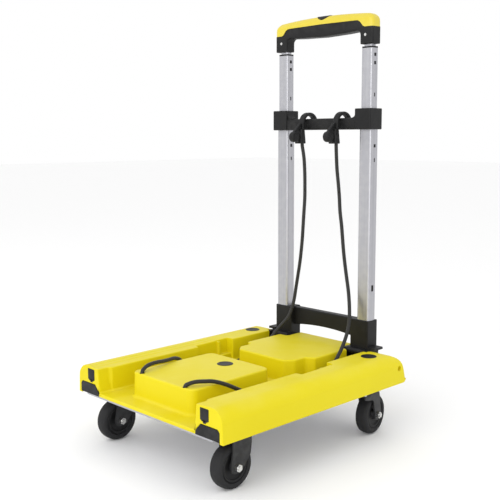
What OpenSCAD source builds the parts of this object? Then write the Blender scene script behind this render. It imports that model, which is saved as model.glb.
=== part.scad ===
// Folding platform cart with a three-stage telescopic handle, 75 mm casters
// and two elastic load cords. Origin: centre of the footprint, on the floor.
// +Y points to the rear (handle end), +X to the right, +Z up.

/* [Platform] */
// Depth of the platform, front lip to rear end
platform_depth = 469; // [450:1:490]
// Height of the load surface above the floor
deck_top = 146; // [140:1:150]
// Half width over the outer foot of the rails
rail_foot_x = 194; // [190:0.5:198]
// Radius of the rail's outer crest
rail_crest_r = 24; // [18:1:26]
// Height of the top face of the tray floor
floor_top = 102; // [100:0.5:106]
// Underside of the moulding
skirt_z = 96; // [95.8:0.1:97]
// Wall of the hollow load blocks
block_wall = 4; // [3:0.5:6]
// Half width of the front block at its front edge
front_block_half = 83; // [76:1:86]
// Half width of the rear block
rear_block_half = 90; // [80:1:91]

/* [Casters] */
// Wheel diameter
wheel_d = 75; // [75]
// Tyre width
tyre_w = 24; // [20:1:25]
// Distance of the rigid front casters from the centre line
front_caster_x = 154; // [150:1:156]
// Front axle position along the cart
front_axle_y = -184; // [-190:1:-180]
// Distance of the rear swivel axes from the centre line
swivel_x = 160; // [156:1:160]
// Rear swivel axis position along the cart
swivel_y = 146; // [140:1:150]
// Trail of the swivel casters
trail = 26; // [20:1:28]
// Resting yaw of the right rear caster, degrees
right_yaw = 8; // [0:1:20]
// Resting yaw of the left rear caster, degrees
left_yaw = 7; // [0:1:20]

/* [Handle] */
// Distance of each handle tube from the centre line
tube_x = 106; // [105:0.5:106]
// Position of the tubes along the cart
tube_y = 220; // [219:0.5:221]
// Hinge axis, along the cart
hinge_y = 200; // [199:0.5:200]
// Hinge axis, above the floor
hinge_z = 141; // [141:0.5:142]
// Top of the yoke sleeves
yoke_top = 201.5; // [195:0.5:206]
// Underside of the hook bar
bar_z = 565; // [560:1:568]
// Height of the hook bar
bar_h = 22; // [20:0.5:23]
// Top of the collars around the first tubes
collar_top = 604; // [600:1:606]
// Top of the second tubes when half drawn out
middle_top = 714; // [710:1:715]
// Bottom face of the grip's sockets
grip_bottom = 720.5; // [719:0.5:722]
// Height of the grip's ends
grip_end_z = 776; // [774:1:778]
// Rise of the grip's top from end to middle
grip_rise = 6; // [4:1:8]
// Half width of the grip
grip_half = 123; // [123:0.5:126]

/* [Cords] */
// Diameter of the elastic cords
cord_d = 7; // [6:0.5:7]
// Diameter of the cord holes in the front block
cord_hole_d = 9.5; // [8:0.5:11]

/* [Hidden] */

yellow = [0.93, 0.86, 0.10];
golden = [0.90, 0.80, 0.20];
black = [0.13, 0.13, 0.14];
silver = [0.74, 0.75, 0.77];
zinc = [0.80, 0.80, 0.80];
rubber = [0.20, 0.20, 0.21];

eps = 0.02;
fine = 64;
platform_front = -237;
platform_rear = platform_front + platform_depth;
beam_rear = platform_rear - 20;

// Platform moulding
rail_top = deck_top + 0.8;
rail_inner_x = 124;
foot_z = 93;
rail_front_x = 133;
rail_mid_x = 128;
recess_x = 140;
ledge_x = 129;
ledge_z = 117;
crest_x = rail_foot_x - 1.5 - rail_crest_r;
crest_z = rail_top - rail_crest_r;
end_r = 27;
end_y = platform_rear - 35;
beam_in_x = 131;
beam_out_x = 186;
beam_top = 115;
beam_wall = 2;
plug_len = 9;
window_x = 153;
window_z = 132.5;
window_w = 20;
window_h = 20;
cap_r = 15;
cap_seat = 1.2;
rail_cap_x = 154;
rail_cap_y = 168;
block_cap_y = -53;
cord_hole_x = 58;
cord_hole_y = -195;
front_block_y0 = -202;
front_block_y1 = -15;
rear_block_y0 = 37;
rear_block_y1 = 228;
pocket_y = 186;
bracket_y0 = 188;

// Running gear
plate_z = 92.5;
plate_t = 3;
plate_x = 170;
wheel_r = wheel_d / 2;
hub_r = 26.5;
axle_r = 4;
run_gap = 0.05;
fork_in = tyre_w / 2 + 2;
fork_t = 2.5;
fork_top = 89;
mount_t = plate_z - fork_top;
axle_end = 23;
head_z = 84;
race_z = 84.5;

// Handle tubes: width along X, depth along Y, corner radius and wall
lower_w = 28.5;
lower_d = 23;
middle_w = 24.7;
middle_d = 19.6;
upper_w = 18.5;
upper_d = 14.2;
lower_r = 4.5;
middle_r = 3.4;
upper_r = 3.5;
wall = 1.2;
inner_wall = 1.1;
sleeve_in = 78.5;
sleeve_out = 121.5;
sleeve_front = 206.5;
sleeve_back = 235.6;
sleeve_bottom = 118;
tube_foot = 146;
ear_r = 6;
pin_r = 3;
bar_front = 202;
bar_d = 22;
collar_in = 87.2;
collar_out = 124.2;
collar_front = 199.5;
collar_back = 237;
middle_foot = 355;
middle_pin_z = 369;
upper_foot = 538;
upper_pin_z = 522;
grip_y = 218.3;
socket_in = 92;
socket_d = 26;
grip_d = 28;
screw_z = 737.5;
split_end = 752;
split_mid = 765;
hand_z = 746;
slot_z = 761.5;
slot_h = 9;
bar_rest_z = 766.5;

// Hooks
hook_left_x = -39;
hook_right_x = 48;
hook_y = 213;
hook_z = 576.5;
hook_in = 17;
hook_out = 23;
hook_t = 13;

// Cord routes, from the stop inside the front block to the hook
cord_right_route = [
  [58, -195, 131], [58, -195, 147], [61, -190, 151], [67, -180, 153.5], [75, -168, 153.5],
  [83, -154, 152], [92, -136, 145], [99, -112, 132], [103, -87, 118], [106, -62, 109],
  [106, -40, 106], [106, -20, 105.7], [106, 4, 105.7], [106, 28, 105.7], [106, 52, 105.7],
  [106, 76, 105.7], [106, 94, 108], [104, 112, 116], [102, 128, 127], [100, 143, 140],
  [98, 157, 153], [96, 169, 167], [95, 178, 183], [94, 184, 201], [92, 187, 219],
  [86, 193, 239], [77, 201, 258], [67, 208, 280], [61, 210, 304], [57, 210, 330],
  [54, 210, 356], [51, 210, 382], [47, 210, 408], [45, 210, 434], [43, 209, 460],
  [42, 206, 486], [45, 200, 511], [48, 195, 534], [48, 195, 542]
];
cord_left_route = [
  [-58, -195, 131], [-58, -195, 147], [-60, -190, 152], [-64, -176, 155.5], [-68, -157, 155.5],
  [-73, -137, 153], [-79, -117, 151], [-85, -100, 149], [-92, -82, 141], [-99, -63, 125],
  [-104, -42, 110], [-106, -20, 105.9], [-106, 4, 105.7], [-106, 28, 105.7], [-106, 52, 105.7],
  [-106, 76, 105.7], [-106, 98, 107], [-104, 117, 111], [-102, 136, 118], [-99, 153, 128],
  [-96, 168, 142], [-92, 180, 156], [-85, 190, 169], [-78, 198, 182], [-74, 204, 199],
  [-71, 208, 219], [-68, 210, 243], [-63, 210, 268], [-58, 210, 294], [-54, 210, 321],
  [-51, 210, 348], [-49, 210, 375], [-47, 210, 402], [-45, 210, 429], [-44, 209, 455],
  [-41, 205, 483], [-38, 199, 511], [-39, 195, 534], [-39, 195, 542]
];

function unit(v) = v / norm(v);
function tangent(path, i) =
  unit(path[min(i + 1, len(path) - 1)] - path[max(i - 1, 0)]);
function side_of(t) = unit(cross(t, abs(t[0]) > 0.9 ? [0, 1, 0] : [1, 0, 0]));

// Tube swept along a path, one ring of n points for each path point
module sweep_tube(path, r, n) {
  rings = len(path);
  points = [for (i = [0 : rings - 1])
    let (t = tangent(path, i), u = side_of(t), v = cross(t, u))
    for (k = [0 : n - 1]) path[i] + r * (cos(360 * k / n) * u + sin(360 * k / n) * v)];
  walls = [for (i = [0 : rings - 2]) for (k = [0 : n - 1])
    [i * n + k, (i + 1) * n + k, (i + 1) * n + (k + 1) % n, i * n + (k + 1) % n]];
  start = [for (k = [0 : n - 1]) k];
  end = [for (k = [n - 1 : -1 : 0]) (rings - 1) * n + k];
  polyhedron(points, concat(walls, [start, end]));
}

// Rectangle with round corners, centred
module round_rect(w, d, r) {
  square([w - 2 * r, d], center = true);
  square([w, d - 2 * r], center = true);
  for (sx = [-1, 1]) for (sy = [-1, 1])
    translate([sx * (w / 2 - r), sy * (d / 2 - r)]) circle(r, $fn = 32);
}

module tube(w, d, r, t, z0, z1) {
  translate([tube_x, tube_y, z0]) linear_extrude(z1 - z0) difference() {
    round_rect(w, d, r);
    round_rect(w - 2 * t, d - 2 * t, r - t);
  }
}

// Extrudes an outline drawn in (Y, Z) along X, from x0 to x1
module along_x(x0, x1) {
  translate([x0, 0, 0]) rotate([90, 0, 90]) linear_extrude(x1 - x0) children();
}

// Extrudes an outline drawn in (X, Z) along Y, from y0 to y1
module along_y(y0, y1) {
  translate([0, y1, 0]) rotate([90, 0, 0]) linear_extrude(y1 - y0) children();
}

module block(x, y, z) {
  translate([x[0], y[0], z[0]]) cube([x[1] - x[0], y[1] - y[0], z[1] - z[0]]);
}

module both_sides() {
  children();
  mirror([1, 0, 0]) children();
}

module on_side(side) {
  if (side < 0) mirror([1, 0, 0]) children();
  else children();
}

// ---- Platform ----

module rail_section() {
  polygon([[rail_inner_x, skirt_z], [rail_foot_x, skirt_z], [crest_x + rail_crest_r, crest_z],
    [crest_x, crest_z], [crest_x, rail_top], [rail_inner_x, rail_top]]);
  translate([crest_x, crest_z]) circle(rail_crest_r, $fn = fine);
  translate([beam_out_x + eps, foot_z]) square([rail_foot_x - beam_out_x - eps, skirt_z - foot_z + 1]);
}

module rail_side_profile() {
  polygon([[platform_front, foot_z], [platform_rear, foot_z], [end_y + end_r, rail_top - end_r],
    [end_y, rail_top - end_r], [end_y, rail_top], [platform_front, rail_top]]);
  translate([end_y, rail_top - end_r]) circle(end_r, $fn = fine);
}

module rail() {
  block([recess_x - 7, recess_x + 1], [52, 58], [ledge_z - 1, rail_top - 3]);
  difference() {
    intersection() {
      along_y(platform_front, platform_rear) rail_section();
      along_x(rail_inner_x - 1, rail_foot_x + 1) rail_side_profile();
    }
    block([0, rail_front_x], [platform_front - 1, -212], [floor_top, 200]);
    block([0, rail_mid_x], [-212, -5], [floor_top, 200]);
    block([0, recess_x], [-5, 82], [ledge_z, 200]);
    block([0, ledge_x], [-5, 82], [floor_top, 200]);
    block([0, beam_in_x], [bracket_y0, 240], [skirt_z - 1, 200]);
    block([beam_in_x - 1, 140.3], [bracket_y0, 231], [rail_top - 0.4, 200]);
    block([beam_in_x, beam_out_x], [platform_front - 1, platform_rear + 1], [skirt_z - 1, beam_top]);
    block([window_x - window_w / 2, window_x + window_w / 2], [platform_front - 1, platform_front + 6],
      [window_z - window_h / 2, window_z + window_h / 2]);
    translate([rail_cap_x, rail_cap_y, rail_top - 6]) cylinder(h = 10, r = cap_r, $fn = fine);
    translate([rail_foot_x - 6, 212, 122]) rotate([0, 90, 0]) cylinder(h = 10, r = 5, $fn = 32);
  }
}

module front_block_outline(inset) {
  w = front_block_half - inset;
  b = front_block_half - 4 - inset;
  y0 = front_block_y0 + inset;
  y1 = front_block_y1 - inset;
  r = 14 - inset;
  polygon([[-w, y0 + r], [-w + r, y0], [w - r, y0], [w, y0 + r],
    [b, y1 - r], [b - r, y1], [-b + r, y1], [-b, y1 - r]]);
  for (s = [-1, 1]) {
    translate([s * (w - r), y0 + r]) circle(r, $fn = 32);
    translate([s * (b - r), y1 - r]) circle(r, $fn = 32);
  }
}

module rear_block_outline(inset) {
  half = [
    [0, rear_block_y0 + inset], [58 - inset, rear_block_y0 + inset], [74 - inset, 54 + inset / 2],
    [73 - inset, 82 + inset / 2], [rear_block_half - inset, 90 + inset],
    [rear_block_half - inset, pocket_y - inset], [70 - inset, pocket_y - inset],
    [70 - inset, rear_block_y1 - inset], [0, rear_block_y1 - inset]
  ];
  polygon(half);
  mirror([1, 0]) polygon(half);
}

module deck_moulding() {
  color(yellow) difference() {
    union() {
      both_sides() rail();
      block([-rail_inner_x - 1, rail_inner_x + 1], [platform_front, pocket_y], [skirt_z, floor_top]);
      block([-70, 70], [pocket_y - 1, rear_block_y1], [skirt_z, floor_top]);
      translate([0, 0, floor_top - 1]) {
        linear_extrude(deck_top - floor_top + 1) front_block_outline(0);
        linear_extrude(deck_top - floor_top + 1) rear_block_outline(0);
      }
    }
    translate([0, 0, skirt_z - 1]) {
      linear_extrude(deck_top - block_wall - skirt_z + 1) front_block_outline(block_wall);
      linear_extrude(deck_top - block_wall - skirt_z + 1) rear_block_outline(block_wall);
    }
    for (s = [-1, 1])
      translate([s * cord_hole_x, cord_hole_y, deck_top - block_wall - 1])
        cylinder(h = block_wall + 2, d = cord_hole_d, $fn = 32);
    translate([0, block_cap_y, deck_top - block_wall - 1])
      cylinder(h = block_wall + 2, r = cap_r - 2, $fn = fine);
    translate([0, block_cap_y, deck_top - cap_seat]) cylinder(h = 5, r = cap_r + eps, $fn = fine);
  }
}

module base_plate() {
  color(silver) difference() {
    block([-plate_x, plate_x], [platform_front + 1.5, platform_rear - 4], [plate_z, plate_z + plate_t]);
    for (s = [-1, 1]) for (p = plate_screw_y)
      translate([s * plate_screw_x, p, plate_z - 1]) cylinder(h = plate_t + 2, r = 2.6, $fn = 32);
    both_sides() caster_bolt_holes();
  }
}

plate_screw_x = 141;
plate_screw_y = [-220, -110, 20, 95, 204];

module plate_screws() {
  color(zinc) for (s = [-1, 1]) for (p = plate_screw_y)
    translate([s * plate_screw_x, p, 0]) {
      translate([0, 0, plate_z - 2]) cylinder(h = 2, r = 4.2, $fn = 32);
      translate([0, 0, plate_z - 1]) cylinder(h = plate_t + 4, r = 2.5, $fn = 32);
    }
}

module beam(side) {
  color(black) on_side(side) difference() {
    block([beam_in_x, beam_out_x], [platform_front + plug_len, beam_rear],
      [skirt_z, beam_top]);
    block([beam_in_x + beam_wall, beam_out_x - beam_wall], [platform_front, platform_rear],
      [skirt_z + beam_wall, beam_top - beam_wall]);
    for (p = plate_screw_y)
      translate([plate_screw_x, p, skirt_z - 1]) cylinder(h = 4, r = 2.6, $fn = 32);
    caster_bolt_holes();
  }
}

module beam_left() { beam(-1); }
module beam_right() { beam(1); }

module plug_outline() {
  polygon([[beam_in_x, skirt_z], [beam_out_x, skirt_z], [beam_out_x, beam_top - 4],
    [beam_out_x - 4, beam_top], [beam_in_x + 12, beam_top], [beam_in_x, skirt_z + 6]]);
}

module beam_plugs() {
  color(black) both_sides() for (start = [platform_front, beam_rear + eps])
    along_y(start, start + plug_len - eps) plug_outline();
}

module window_clips() {
  color(black) both_sides() {
    block([window_x - window_w / 2, window_x + window_w / 2], [platform_front + 0.5, platform_front + 6],
      [window_z - window_h / 2, window_z + window_h / 2]);
  }
}

module rail_caps() {
  color(black) both_sides() translate([rail_cap_x, rail_cap_y, rail_top - 6])
    cylinder(h = 6, r = cap_r, $fn = fine);
}

module block_cap() {
  color(black) translate([0, block_cap_y, 0]) {
    translate([0, 0, deck_top - cap_seat]) cylinder(h = cap_seat, r = cap_r, $fn = fine);
    translate([0, 0, deck_top - 8]) cylinder(h = 8 - cap_seat + eps, r = cap_r - 2, $fn = fine);
  }
}

module cord_stops() {
  color(black) for (s = [-1, 1])
    translate([s * cord_hole_x, cord_hole_y + 3, 118]) cylinder(h = 13, r = 5.5, $fn = 32);
}

// ---- Handle hinge ----

module hinge_bracket(side) {
  color(black) on_side(side) difference() {
    union() {
      block([70.4, 129.6], [189, 230], [skirt_z, 99.5]);
      block([70.4, 78], [195.5, 216], [99, 145.6]);
      block([122, 129.6], [189, 230], [99, 146.4]);
      block([122, 129.6], [204, 230], [146, 151]);
      block([122, 140], [204, 230], [147.1, 151.5]);
    }
    translate([60, hinge_y, hinge_z]) rotate([0, 90, 0]) cylinder(h = 75, r = pin_r + eps, $fn = 32);
  }
}

module hinge_bracket_left() { hinge_bracket(-1); }
module hinge_bracket_right() { hinge_bracket(1); }

module hinge_pins() {
  color(zinc) both_sides() translate([70.6, hinge_y, hinge_z]) rotate([0, 90, 0])
    cylinder(h = 59.6, r = pin_r, $fn = 32);
}

// ---- Casters ----

// Outline of a fork leg in (Y, Z): wide at the top, round at the axle
module leg_outline(y_axle, y0, y1) {
  polygon([[y0, fork_top + 1], [y0, 70], [y_axle - 9, wheel_r], [y_axle + 7, wheel_r - 5],
    [y1, 58], [y1, fork_top + 1]]);
  translate([y_axle, wheel_r]) circle(9, $fn = 32);
}

module fork_legs(y_axle, y0, y1) {
  difference() {
    for (s = [0, 1])
      mirror([s, 0, 0]) along_x(fork_in, fork_in + fork_t) leg_outline(y_axle, y0, y1);
    translate([-30, y_axle, wheel_r]) rotate([0, 90, 0]) cylinder(h = 60, r = axle_r + eps, $fn = 32);
  }
}

bolt_x = [-20, 20];
bolt_y = [-21, 21];

module bolt_holes(r) {
  for (bx = bolt_x) for (by = bolt_y)
    translate([bx, by, 0]) cylinder(h = 30, r = r, $fn = 32);
}

module caster_bolt_holes() {
  translate([front_caster_x, front_axle_y, 70]) bolt_holes(2.6);
  translate([swivel_x, swivel_y, 70]) bolt_holes(2.6);
}

module front_fork(side) {
  color(black) on_side(side) translate([front_caster_x, front_axle_y, 0]) {
    fork_legs(0, -13, 30);
    difference() {
      block([-25, 25], [-29, 30], [fork_top, fork_top + mount_t]);
      translate([0, 0, fork_top - 10]) bolt_holes(2.6);
    }
  }
}

module front_fork_left() { front_fork(-1); }
module front_fork_right() { front_fork(1); }

// Axle bolt with a hexagon head and nut, along X, centred on the wheel
module axle_bolt() {
  rotate([0, 90, 0]) {
    translate([0, 0, -axle_end]) cylinder(h = 2 * axle_end, r = axle_r, $fn = 32);
    for (s = [-1, 1]) translate([0, 0, s * (fork_in + fork_t + 2.25)])
      cylinder(h = 4.5, r = 6.5, $fn = 6, center = true);
  }
}

module front_axles() {
  color(zinc) both_sides() translate([front_caster_x, front_axle_y, wheel_r]) axle_bolt();
}

module caster_bolts() {
  color(zinc) both_sides() {
    for (c = [[front_caster_x, front_axle_y], [swivel_x, swivel_y]])
      translate([c[0], c[1], 0]) for (bx = bolt_x) for (by = bolt_y) translate([bx, by, 0]) {
        translate([0, 0, fork_top - 3]) cylinder(h = 3, r = 3.4, $fn = 6);
        translate([0, 0, fork_top - 1]) cylinder(h = 9, r = 2.5, $fn = 32);
      }
  }
}

module swivel_plate(side) {
  color(black) on_side(side) translate([swivel_x, swivel_y, 0]) difference() {
    block([-24, 24], [-25, 25], [fork_top, fork_top + mount_t]);
    translate([0, 0, fork_top - 10]) bolt_holes(2.6);
    translate([0, 0, fork_top - 1]) cylinder(h = 10, r = axle_r + eps, $fn = 32);
  }
}

module swivel_plate_left() { swivel_plate(-1); }
module swivel_plate_right() { swivel_plate(1); }

module kingpins() {
  color(zinc) both_sides() translate([swivel_x, swivel_y, 0]) {
    translate([0, 0, 76.5]) cylinder(h = 3, r = 7, $fn = 32);
    translate([0, 0, 79]) cylinder(h = plate_z - 79, r = axle_r, $fn = 32);
  }
}

// Places a rear caster, drawn with its swivel axis at the origin and its wheel behind
module rear_caster(side) {
  translate([side * swivel_x, swivel_y, 0])
    rotate([0, 0, side > 0 ? right_yaw : -left_yaw]) children();
}

module rear_leg_outline() {
  polygon([[-20, head_z], [-20, 77], [13, 70], [trail - 9, wheel_r], [trail + 9, wheel_r],
    [33, 72], [29, head_z]]);
  translate([trail, wheel_r]) circle(9.4, $fn = 32);
}

module rear_fork(side) {
  color(black) rear_caster(side) difference() {
    union() {
      for (s = [0, 1])
        mirror([s, 0, 0]) along_x(fork_in, fork_in + fork_t) rear_leg_outline();
      block([-fork_in - 1, fork_in + 1], [-20, 28], [head_z - 4, head_z]);
      translate([0, 0, head_z - 1]) cylinder(h = 4, r = 18, $fn = fine);
    }
    translate([0, 0, 70]) cylinder(h = 30, r = axle_r + run_gap, $fn = 32);
    translate([-30, trail, wheel_r]) rotate([0, 90, 0]) cylinder(h = 60, r = axle_r + eps, $fn = 32);
  }
}

module rear_fork_left() { rear_fork(-1); }
module rear_fork_right() { rear_fork(1); }
module rear_axle_left() { color(zinc) rear_caster(-1) translate([0, trail, wheel_r]) axle_bolt(); }
module rear_axle_right() { color(zinc) rear_caster(1) translate([0, trail, wheel_r]) axle_bolt(); }

module tyre() {
  h = tyre_w / 2;
  color(rubber) rotate([0, 90, 0]) rotate_extrude($fn = 96)
    polygon([[hub_r, -h + 2], [hub_r + 3, -h], [wheel_r - 5, -h], [wheel_r - 1.6, -h + 2],
      [wheel_r, -h + 6], [wheel_r, h - 6], [wheel_r - 1.6, h - 2], [wheel_r - 5, h],
      [hub_r + 3, h], [hub_r, h - 2]]);
}

module hub() {
  h = tyre_w / 2 - 2;
  bore = axle_r + run_gap;
  color(black) rotate([0, 90, 0]) rotate_extrude($fn = 96)
    polygon([[bore, -h - 1.5], [9, -h - 1.5], [10, -h + 3], [20, -h + 3], [21, -h], [hub_r, -h],
      [hub_r, h], [21, h], [20, h - 3], [10, h - 3], [9, h + 1.5], [bore, h + 1.5]]);
}

module front_wheel_place(side) {
  translate([side * front_caster_x, front_axle_y, wheel_r]) children();
}

module rear_wheel_place(side) {
  rear_caster(side) translate([0, trail, wheel_r]) children();
}

module front_left_tyre() { front_wheel_place(-1) tyre(); }
module front_right_tyre() { front_wheel_place(1) tyre(); }
module rear_left_tyre() { rear_wheel_place(-1) tyre(); }
module rear_right_tyre() { rear_wheel_place(1) tyre(); }
module front_left_hub() { front_wheel_place(-1) hub(); }
module front_right_hub() { front_wheel_place(1) hub(); }
module rear_left_hub() { rear_wheel_place(-1) hub(); }
module rear_right_hub() { rear_wheel_place(1) hub(); }

// ---- Handle, first stage ----

module tube_plug(w, d, r, z0, z1) {
  translate([tube_x, tube_y, z0]) linear_extrude(z1 - z0) round_rect(w, d, r);
}

module yoke() {
  arch_r = 516;
  color(black) difference() {
    union() {
      both_sides() {
        block([sleeve_in, sleeve_out], [sleeve_front, sleeve_back], [sleeve_bottom, yoke_top]);
        translate([sleeve_in + 0.3, hinge_y, hinge_z]) rotate([0, 90, 0])
          cylinder(h = sleeve_out - sleeve_in - 0.6, r = ear_r, $fn = 32);
        block([sleeve_in + 0.3, sleeve_out - 0.3], [hinge_y, sleeve_front + 1],
          [hinge_z - ear_r, hinge_z + ear_r]);
      }
      block([-sleeve_in - 1, sleeve_in + 1], [216.5, 233], [163, 200]);
    }
    translate([0, 240, 169 - arch_r]) rotate([90, 0, 0])
      intersection() {
        cylinder(h = 30, r = arch_r, $fn = 180);
        translate([-sleeve_in, 0, -1]) cube([2 * sleeve_in, arch_r + 1, 32]);
      }
    both_sides() {
      translate([60, hinge_y, hinge_z]) rotate([0, 90, 0])
        cylinder(h = 80, r = pin_r + run_gap, $fn = 32);
      tube_plug(lower_w, lower_d, lower_r, tube_foot, yoke_top + 1);
      translate([tube_x, sleeve_back - 5, 180]) rotate([-90, 0, 0]) cylinder(h = 6, r = 2.1, $fn = 32);
    }
  }
}

module yoke_screws() {
  color(zinc) both_sides() translate([tube_x, sleeve_back - 4, 180]) rotate([-90, 0, 0]) {
    cylinder(h = 4.02, r = 2, $fn = 32);
    translate([0, 0, 4.02]) cylinder(h = 1.4, r = 4, $fn = 32);
  }
}

module square_window(x0, x1, z, w, h) {
  block([x0, x1], [tube_y - w / 2, tube_y + w / 2], [z - h / 2, z + h / 2]);
}

module lower_tube(side) {
  color(silver) on_side(side) difference() {
    tube(lower_w, lower_d, lower_r, wall, tube_foot, collar_top - 3);
    square_window(90, 125, 534.5, 6, 6);
    square_window(90, 125, 508, 3, 7);
    square_window(tube_x, 125, 264, 6, 12);
  }
}

module lower_tube_left() { lower_tube(-1); }
module lower_tube_right() { lower_tube(1); }

module crossbar() {
  color(black) difference() {
    union() {
      block([-collar_in - 1, collar_in + 1], [bar_front, bar_front + bar_d], [bar_z, bar_z + bar_h]);
      both_sides() {
        translate([(collar_in + collar_out) / 2, (collar_front + collar_back) / 2, bar_z])
          linear_extrude(collar_top - bar_z)
            round_rect(collar_out - collar_in, collar_back - collar_front, 2.5);
        along_y(bar_front, bar_front + bar_d) polygon([[collar_in + 1, bar_z + bar_h - 1],
          [collar_in + 1, bar_z + bar_h + 6], [collar_in - 3, bar_z + bar_h + 2],
          [collar_in - 8, bar_z + bar_h - 1]]);
      }
    }
    both_sides() {
      tube_plug(lower_w, lower_d, lower_r, bar_z - 1, collar_top - 3);
      tube_plug(middle_w + 1, middle_d + 1, middle_r, collar_top - 4, collar_top + 1);
    }
  }
}

// Sleeve between two stages: fills the outer tube and lets the inner one run
module guide_bush(outer, inner, z0, z1) {
  translate([tube_x, tube_y, z0]) linear_extrude(z1 - z0) difference() {
    round_rect(outer[0] - eps, outer[1] - eps, outer[2] + eps);
    round_rect(inner[0] + 2 * run_gap, inner[1] + 2 * run_gap, inner[2]);
  }
}

module lower_guides() {
  color(black) both_sides()
    guide_bush([lower_w - 2 * wall, lower_d - 2 * wall, lower_r - wall], [middle_w, middle_d, middle_r],
      495, collar_top - 3);
}

// ---- Second stage ----

module middle_tube(side) {
  color(silver) on_side(side) difference() {
    tube(middle_w, middle_d, middle_r, inner_wall, middle_foot, middle_top);
    square_window(92, 120, middle_top - 12, 6, 6);
    square_window(92, 120, middle_top - 27, 6, 6);
    square_window(92, 120, middle_top - 85, 3, 7);
    translate([tube_x, tube_y, middle_pin_z]) rotate([0, 90, 0]) cylinder(h = 20, r = 3.3, $fn = 32);
  }
}

module middle_tube_left() { middle_tube(-1); }
module middle_tube_right() { middle_tube(1); }

module middle_guides() {
  color(black) both_sides() {
    guide_bush([middle_w - 2 * inner_wall, middle_d - 2 * inner_wall, middle_r - inner_wall],
      [upper_w, upper_d, upper_r], 620, middle_top + 1);
    translate([tube_x, tube_y, middle_top]) linear_extrude(3) difference() {
      round_rect(middle_w, middle_d, middle_r);
      round_rect(upper_w + 0.7, upper_d + 0.7, upper_r);
    }
  }
}

// Lock block at the foot of a tube, with its spring pin drawn back
module lock_block(w, d, z0, z1, pin_z, reach) {
  translate([tube_x, tube_y, z0]) linear_extrude(z1 - z0) round_rect(w, d, 4);
  translate([tube_x, tube_y, pin_z]) rotate([0, 90, 0]) cylinder(h = reach, r = 3, $fn = 32);
}

module middle_locks() {
  color(black) both_sides()
    lock_block(middle_w - 2 * inner_wall - 0.4, middle_d - 2 * inner_wall - 0.4, 342, 384,
      middle_pin_z, middle_w / 2 - 0.2);
}

// ---- Third stage and grip ----

module upper_tube(side) {
  color(silver) on_side(side) tube(upper_w, upper_d, upper_r, inner_wall, upper_foot, split_end);
}

module upper_tube_left() { upper_tube(-1); }
module upper_tube_right() { upper_tube(1); }

module upper_locks() {
  color(black) both_sides()
    lock_block(upper_w - 2 * inner_wall - 0.4, upper_d - 2 * inner_wall - 0.4, 508, 556,
      upper_pin_z, upper_w / 2 - 0.4);
}

module grip_outline() {
  corner = 14;
  arch_r = (grip_half * grip_half + grip_rise * grip_rise) / (2 * grip_rise);
  difference() {
    intersection() {
      translate([0, grip_end_z + grip_rise - arch_r]) circle(arch_r, $fn = 360);
      union() {
        translate([-grip_half, grip_bottom]) square([2 * grip_half, grip_end_z - corner - grip_bottom]);
        translate([-grip_half + corner, grip_bottom]) square([2 * (grip_half - corner), 80]);
        for (s = [-1, 1]) translate([s * (grip_half - corner), grip_end_z - corner])
          circle(corner, $fn = fine);
      }
    }
    translate([-socket_in, grip_bottom - 1]) square([2 * socket_in, hand_z - 10 - grip_bottom + 1]);
    translate([-socket_in + 10, grip_bottom]) square([2 * (socket_in - 10), hand_z - grip_bottom]);
    for (s = [-1, 1]) translate([s * (socket_in - 10), hand_z - 10]) circle(10, $fn = fine);
  }
}

// Region under the joint line between the dark and the coloured half of the grip
module below_joint() {
  polygon([[-140, grip_bottom - 5], [140, grip_bottom - 5], [140, split_end], [104, split_end],
    [86, split_mid], [-86, split_mid], [-104, split_end], [-140, split_end]]);
}

module grip_slot() {
  block([-112, 112], [tube_y - 5.5, tube_y + 5.5], [slot_z, slot_z + slot_h]);
  block([-6, 6], [tube_y - 6, tube_y + 6], [750, slot_z + 1]);
  both_sides() translate([tube_x, tube_y, grip_bottom - 1]) cylinder(h = 45, r = 3, $fn = 32);
}

module grip_lower() {
  color(black) difference() {
    along_y(grip_y - socket_d / 2, grip_y + socket_d / 2) intersection() {
      grip_outline();
      below_joint();
    }
    both_sides() {
      tube_plug(upper_w + 0.04, upper_d + 0.04, upper_r, grip_bottom - 1, split_end + 1);
      translate([tube_x, grip_y - socket_d / 2 + 0.6, screw_z]) rotate([90, 0, 0])
        cylinder(h = 5, r = 2.62, $fn = 32);
    }
    grip_slot();
  }
}

module grip_cover() {
  color(golden) difference() {
    along_y(grip_y - grip_d / 2, grip_y + grip_d / 2) difference() {
      grip_outline();
      below_joint();
    }
    grip_slot();
    translate([0, tube_y - 3, 764]) linear_extrude(30) round_rect(36.6, 22.6, 11.2);
  }
}

module grip_screws() {
  color(zinc) both_sides() translate([tube_x, grip_y - socket_d / 2 + 0.6, screw_z])
    rotate([90, 0, 0]) cylinder(h = 1.2, r = 2.6, $fn = 32);
}

module pull_rods() {
  color(zinc) both_sides() translate([tube_x, tube_y, 562]) cylinder(h = bar_rest_z - 562, r = 2, $fn = 32);
}

module release_bar() {
  color(zinc) block([-109, 109], [tube_y - 4, tube_y + 4], [bar_rest_z, bar_rest_z + 3.5]);
}

module release_button() {
  color(black) translate([0, tube_y - 3, bar_rest_z + 3.5]) {
    linear_extrude(grip_end_z + grip_rise + 1 - bar_rest_z - 3.5) round_rect(36, 22, 10.9);
  }
}

module button_spring() {
  turns = 4;
  steps = 8;
  z0 = 751;
  z1 = bar_rest_z - 0.7;
  path = [for (i = [0 : turns * steps]) let (a = 360 * i / steps)
    [4 * cos(a), tube_y + 4 * sin(a), z0 + (z1 - z0) * i / (turns * steps)]];
  color(zinc) sweep_tube(path, 0.6, 6);
}

// ---- Hooks ----

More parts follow.
